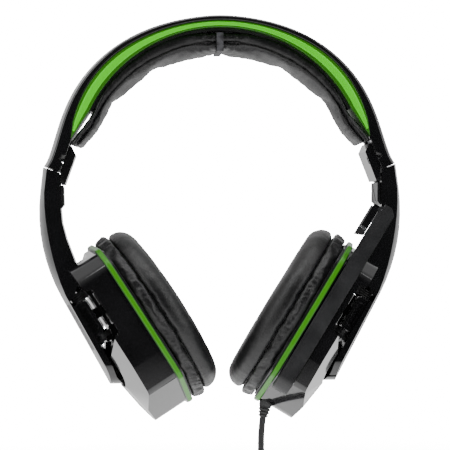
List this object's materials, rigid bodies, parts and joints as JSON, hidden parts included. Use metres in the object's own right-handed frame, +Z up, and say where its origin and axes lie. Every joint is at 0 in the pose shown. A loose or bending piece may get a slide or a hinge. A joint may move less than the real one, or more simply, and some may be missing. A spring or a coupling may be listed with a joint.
{
  "type": "over-ear headset",
  "caption": "Over-ear headset: padded arch headband with a coloured accent liner, sliding arms, tilting ear cups with ring cushions, and a swing-up microphone boom.",
  "frame": {"origin": "point under the middle of the headband pad that rests on the crown of the head", "axes": "+Z up, +X towards the wearer's left (the cup with the microphone boom), -Y the way the wearer faces"},
  "size_m": [0.1914, 0.0878, 0.3095],
  "materials": {
    "gloss_black": "piano-black gloss moulding",
    "satin_black": "fine satin moulding",
    "green_accent": "smooth translucent green moulding",
    "leatherette": "soft black leatherette",
    "grey_tape": "woven tape",
    "steel": "plain steel",
    "clear_film": "thin plastic film",
    "speaker_cloth": "fine woven cloth",
    "soft_rubber": "matt soft plastic",
    "plug_gold": "gold-plated"
  },
  "bodies": {
    "headband": {"headband_shell": "gloss_black", "accent_liner": "green_accent", "spring_band": "steel", "pad_backing": "satin_black", "headband_pad": "leatherette", "pad_strap": "grey_tape", "left_end_guide": "satin_black", "right_end_guide": "satin_black", "guide_screws": "steel"},
    "left_arm": {"left_arm_shell": "gloss_black", "left_slider_blade": "steel", "left_blade_screws": "steel", "left_arm_insert": "satin_black", "left_pivot_bracket": "satin_black", "left_bracket_screws": "steel", "left_pivot_pin": "steel"},
    "right_arm": {"right_arm_shell": "gloss_black", "right_slider_blade": "steel", "right_blade_screws": "steel", "right_arm_insert": "satin_black", "right_pivot_bracket": "satin_black", "right_bracket_screws": "steel", "right_pivot_pin": "steel"},
    "left_cup": {"left_cup_housing": "gloss_black", "left_accent_ring": "green_accent", "left_baffle": "satin_black", "left_baffle_screws": "steel", "left_driver_frame": "satin_black", "left_driver_magnet": "steel", "left_driver_diaphragm": "clear_film", "left_speaker_mesh": "speaker_cloth", "left_ear_cushion": "leatherette", "boom_pin": "steel", "strain_relief": "soft_rubber", "cord_lead": "soft_rubber", "cord_coil": "soft_rubber", "coil_tie": "soft_rubber", "cord_tail": "soft_rubber", "plug_body": "satin_black", "plug_pin": "plug_gold"},
    "right_cup": {"right_cup_housing": "gloss_black", "right_accent_ring": "green_accent", "right_baffle": "satin_black", "right_baffle_screws": "steel", "right_driver_frame": "satin_black", "right_driver_magnet": "steel", "right_driver_diaphragm": "clear_film", "right_speaker_mesh": "speaker_cloth", "right_ear_cushion": "leatherette"},
    "mic_boom": {"boom_arm": "gloss_black", "mic_pin": "steel"},
    "mic_head": {"mic_head_shell": "gloss_black", "mic_ring": "steel", "mic_cap": "satin_black", "mic_capsule": "steel"}
  },
  "joints": [
    {"name": "left_arm_slide", "type": "slide", "parent": "headband", "child": "left_arm", "axis": [0.3502, 0, -0.9367], "range_m": [0, 0.025]},
    {"name": "left_cup_tilt", "type": "hinge", "parent": "left_arm", "child": "left_cup", "pos_m": [0.06787, 0, -0.13725], "axis": [0, 1, 0], "range_deg": [-6, 6]},
    {"name": "right_arm_slide", "type": "slide", "parent": "headband", "child": "right_arm", "axis": [-0.3502, 0, -0.9367], "range_m": [0, 0.025]},
    {"name": "right_cup_tilt", "type": "hinge", "parent": "right_arm", "child": "right_cup", "pos_m": [-0.06787, 0, -0.13725], "axis": [0, -1, 0], "range_deg": [-6, 6]},
    {"name": "mic_boom_swing", "type": "hinge", "parent": "left_cup", "child": "mic_boom", "pos_m": [0.03044, -0.03539, -0.1687], "axis": [0.8448, -0.0872, -0.5279], "range_deg": [0, 110]},
    {"name": "mic_head_fold", "type": "hinge", "parent": "mic_boom", "child": "mic_head", "pos_m": [0.08002, -0.03966, -0.08411], "axis": [0.0739, 0.9962, -0.0462], "range_deg": [0, 80]}
  ]
}
